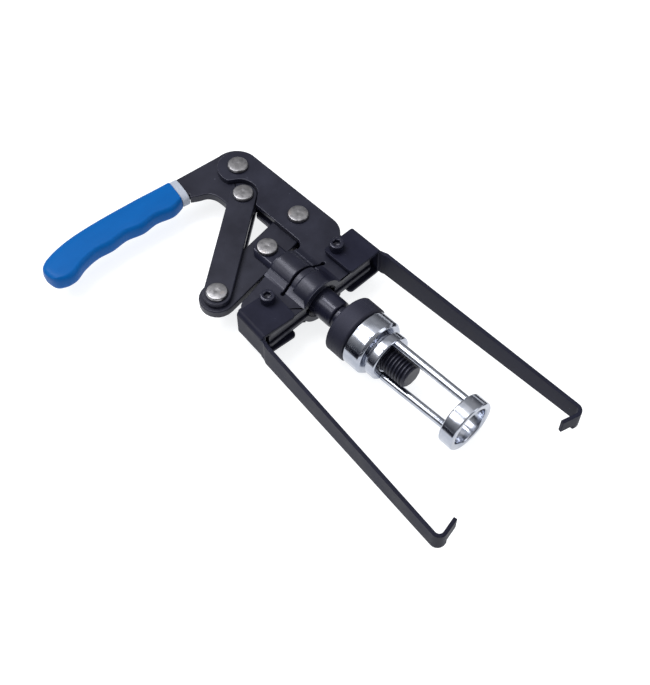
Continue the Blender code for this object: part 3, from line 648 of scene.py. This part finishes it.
def foot_ring():
    back, front, radius = ring_span("foot_ring")
    bore = RING_BORE
    profile = [
        (back, bore + 0.5 * MM),
        (back, radius - 0.7 * MM),
        (back + 0.7 * MM, radius),
        (front - 0.7 * MM, radius),
        (front, radius - 0.7 * MM),
        (front, bore + 0.9 * MM),
        (front - 0.9 * MM, bore),
        (back + 0.5 * MM, bore),
    ]
    work = on_axis(revolve(eased(profile, 0.3 * MM, closed=True), 128, closed=True))
    to_piece("foot_ring_finished", work, ZINC, "foot_ring")


def rod_ends(node):
    """The middles of a rod's two end faces, taken from its CAD mesh."""
    points = [vertex.co for vertex in frame["nodes"][node].data.vertices]
    low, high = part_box(node)
    half = (low.x + high.x) / 2
    ends = []
    for side in (-1, 1):
        ring = [point for point in points if side * (point.x - half) > 0]
        ends.append(sum(ring, Vector()) / len(ring))
    return ends


def rod(node):
    """A drawn rod that closes the small gaps at the collar and the ring, with a staking pin."""
    start, end = rod_ends(node)
    along = (end - start).normalized()
    start = start - along * ROD_GAP
    end = end + along * ROD_GAP
    radius = ROD_RADIUS
    length = (end - start).length
    straight = length - 2 * ROD_CHAMFER
    stations = [(0.0, 0.0), (0.0, radius - 0.25 * MM), (ROD_CHAMFER, radius)]
    stations += [(ROD_CHAMFER + straight * row / ROD_ROWS, radius) for row in range(1, ROD_ROWS)]
    stations += [(length - ROD_CHAMFER, radius), (length, radius - 0.25 * MM), (length, 0.0)]
    work = revolve(stations, 40)
    work.transform(Matrix.Translation(start) @ along.to_track_quat("Z", "Y").to_matrix().to_4x4())
    to_piece(node + "_finished", work, ZINC_ROD, node)

    back, front, ring_radius = ring_span("foot_ring")
    out = Vector((0, end.y - ORIGIN.y, end.z - ORIGIN.z)).normalized()
    pin = PIN_RADIUS
    stations = [(-1.0 * MM, 0.0), (-1.0 * MM, pin), (0.02 * MM, pin)]
    stations += [(0.12 * MM, 0.8 * pin), (0.18 * MM, 0.45 * pin), (0.2 * MM, 0.0)]
    work = revolve(stations, 24)
    seat = Vector(((back + front) / 2 - 1.6 * MM, ORIGIN.y, ORIGIN.z)) + out * (ring_radius - 0.12 * MM)
    work.transform(Matrix.Translation(seat) @ out.to_track_quat("Z", "Y").to_matrix().to_4x4())
    to_piece(node + "_pin", work, ZINC_ROD, node, replaces=False)


foot_ring()
rod("cage_rod_upper")
rod("cage_rod_lower")


# Grip --------------------------------------------------------------------------------------------

# The grip's two edges from the band to the butt, in millimetres from the plunger's rivet.
PALM_EDGE = [(-93.8, -9.4), (-95.5, -22), (-97.1, -34), (-98.5, -46), (-99.7, -58)]
PALM_EDGE += [(-100.7, -70), (-101.2, -82), (-101, -94), (-99.4, -105.6), (-96, -116.6)]
FINGER_EDGE = [(-74, -12.8), (-71.8, -22.5), (-75.1, -35), (-74.6, -47.2), (-77.8, -59.4)]
FINGER_EDGE += [(-77.3, -71.8), (-78.9, -83.6), (-77.3, -95.3), (-73.6, -105.8), (-74.6, -114.6)]
GRIP_HALF = 6.7 * MM
GRIP_STEPS = 56
EDGE_STEPS = 7
BUTT_STEPS = 14
BUTT_REACH = 4.9 * MM
BUTT_ROUND = 9.5 * MM
RIDGE = 0.4 * MM
SLIVER = 0.02  # of full size, where the butt closes
DRIP = ORIGIN + Vector((-94.6, -120.2, -3.0)) * MM
DRIP_RADIUS = 2.6 * MM
DRIP_OUT = Vector((-0.75, -0.65, 0)) * 1.3 * MM


def through(points, steps):
    """A Catmull-Rom curve through the points, placed in the world."""
    ends = [points[0], *points, points[-1]]
    path = []
    for a, b, c, d in zip(ends, ends[1:], ends[2:], ends[3:]):
        a, b, c, d = (Vector(p) * MM for p in (a, b, c, d))
        for i in range(steps):
            t = i / steps
            linear = 2 * b + (c - a) * t
            curved = (2 * a - 5 * b + 4 * c - d) * t**2 + (3 * b - a - 3 * c + d) * t**3
            path.append(ORIGIN.xy + 0.5 * (linear + curved))
    return [*path, ORIGIN.xy + Vector(points[-1]) * MM]


def grip_ring(work, centre, across, thick, ridge):
    """A flattened section with soft corners, and a low ridge by the fingers on both faces."""
    ring = []
    for i in range(GRIP_STEPS):
        angle = 2 * math.pi * i / GRIP_STEPS
        c, s = math.cos(angle), math.sin(angle)
        share = math.copysign(abs(c) ** 0.5, c)
        rise = math.copysign(abs(s) ** 0.55, s)
        swell = ridge * math.exp(-(((share - 0.80) / 0.10) ** 2)) if s else 0.0
        spot = centre + across * share
        height = ORIGIN.z + thick * rise + math.copysign(swell, s)
        ring.append(work.verts.new((spot.x, spot.y, height)))
    return ring


def grip():
    """The dipped vinyl grip: straight cut at the band, finger waves, and a rounded butt with a drip."""
    edges = zip(through(PALM_EDGE, EDGE_STEPS), through(FINGER_EDGE, EDGE_STEPS))
    sections = [((p + f) / 2, (f - p) / 2) for p, f in edges]
    last, butt = sections[-1]
    ahead = Vector((butt.y, -butt.x)).normalized()
    for i in range(1, BUTT_STEPS + 1):
        sections.append((last + ahead * BUTT_REACH * math.sin(math.pi / 2 * i / BUTT_STEPS), butt))
    end = sections[-1][0]
    work = bmesh.new()
    rings = []
    for centre, across in sections:
        left = min(1.0, (end - centre).dot(ahead) / BUTT_ROUND)
        plan = (1 - (1 - left) ** 2.3) ** (1 / 2.3)
        depth = (1 - (1 - left) ** 5) ** (1 / 5)
        thick = GRIP_HALF * max(depth, SLIVER)
        rings.append(grip_ring(work, centre, across * max(plan, SLIVER), thick, RIDGE * plan))
    mouth_centre, mouth = sections[0]
    lip = grip_ring(work, mouth_centre, mouth * 0.93, GRIP_HALF - 0.8 * MM, 0.0)
    for low, high in zip([lip, *rings], rings):
        for i, corner in enumerate(low):
            after = (i + 1) % len(low)
            work.faces.new((corner, low[after], high[after], high[i]))
    work.faces.new(lip)
    work.faces.new(rings[-1])
    for vertex in work.verts:
        share = (vertex.co - DRIP).length / DRIP_RADIUS
        vertex.co += DRIP_OUT * math.exp(-(share**2))
    piece = to_piece("handle_grip_finished", work, BLUE, "handle_grip", smooth=50)
    bevel = piece.modifiers.new("lip", "BEVEL")
    bevel.width = 0.3 * MM
    bevel.segments = 2
    bevel.limit_method = "ANGLE"
    bevel.angle_limit = math.radians(50)


grip()
softened("grip_band", 0.4 * MM, GREY)


# Studio ------------------------------------------------------------------------------------------

TOOL_CENTRE = ORIGIN + Vector((60 * MM, -15 * MM, 0))


def area_light(name, offset, size, power):
    """A rectangular light at offset from the tool's middle, facing it."""
    light = bpy.data.lights.new(name, "AREA")
    light.shape = "RECTANGLE"
    light.size, light.size_y = size
    light.energy = power
    lamp = bpy.data.objects.new(name, light)
    bpy.context.scene.collection.objects.link(lamp)
    lamp.location = TOOL_CENTRE + Vector(offset)
    lamp.rotation_euler = (TOOL_CENTRE - lamp.location).to_track_quat("-Z", "Y").to_euler()


def pale_floor():
    """A white floor that glows a little, so that the tool's shadow on it stays faint."""
    work = bmesh.new()
    bmesh.ops.create_grid(work, x_segments=8, y_segments=8, size=4.0)
    mesh = bpy.data.meshes.new("floor")
    work.to_mesh(mesh)
    work.free()
    paint = bpy.data.materials.new("pale_floor")
    paint.use_nodes = True
    shader = paint.node_tree.nodes["Principled BSDF"]
    shader.inputs["Base Color"].default_value = (0.40, 0.405, 0.41, 1)
    shader.inputs["Roughness"].default_value = 0.75
    shader.inputs["Specular IOR Level"].default_value = 0.2
    shader.inputs["Emission Color"].default_value = (0.98, 0.99, 1.0, 1)
    shader.inputs["Emission Strength"].default_value = 0.82
    mesh.materials.append(paint)
    floor = bpy.data.objects.new("floor", mesh)
    floor.location = (0, 0, CAD_BOX[0][2] - 0.2 * MM)
    bpy.context.scene.collection.objects.link(floor)


def tent():
    """A world that is white above and grey towards the horizon."""
    world = bpy.data.worlds.new("studio_tent")
    bpy.context.scene.world = world
    world.use_nodes = True
    nodes = world.node_tree.nodes
    links = world.node_tree.links
    background = nodes["Background"]
    background.inputs["Strength"].default_value = 0.50
    coordinates = nodes.new("ShaderNodeTexCoord")
    split = nodes.new("ShaderNodeSeparateXYZ")
    shade = nodes.new("ShaderNodeValToRGB")
    links.new(coordinates.outputs["Generated"], split.inputs[0])
    links.new(split.outputs["Z"], shade.inputs["Fac"])
    links.new(shade.outputs["Color"], background.inputs["Color"])
    shade.color_ramp.elements[0].position = 0.12
    shade.color_ramp.elements[0].color = (0.16, 0.17, 0.20, 1)
    shade.color_ramp.elements[1].position = 0.6
    shade.color_ramp.elements[1].color = (1, 1, 1, 1)


def camera():
    """The view from the near right corner, 56 degrees up, close enough to show perspective."""
    azimuth = math.radians(45.91)
    elevation = math.radians(56.18)
    distance = 0.773
    target = ORIGIN + Vector((78.5 * MM, -21.4 * MM, 0))
    level = math.cos(elevation)
    offset = Vector((math.sin(azimuth) * level, -math.cos(azimuth) * level, math.sin(elevation)))
    lens = bpy.data.cameras.new("view")
    lens.sensor_fit = "HORIZONTAL"
    lens.sensor_width = 36.0
    lens.lens = 66.34
    lens.clip_start = 0.01
    eye = bpy.data.objects.new("view", lens)
    bpy.context.scene.collection.objects.link(eye)
    aim = (-offset).to_track_quat("-Z", "Y").to_matrix().to_4x4()
    roll = Matrix.Rotation(math.radians(0.33), 4, "Z")
    eye.matrix_world = Matrix.Translation(target + offset * distance) @ aim @ roll
    bpy.context.scene.camera = eye


pale_floor()
tent()
area_light("key_left", (-0.38, -0.68, 1.05), (0.5, 0.5), 5)
area_light("top", (0.05, 0.25, 1.3), (1.2, 0.9), 2)
area_light("streak", (-0.55, -0.10, 1.05), (0.22, 0.9), 9)  # the bright line along the round parts
area_light("right_rim", (0.9, 0.7, 0.6), (0.4, 0.9), 2.5)
camera()
bpy.context.scene.view_settings.view_transform = "Standard"
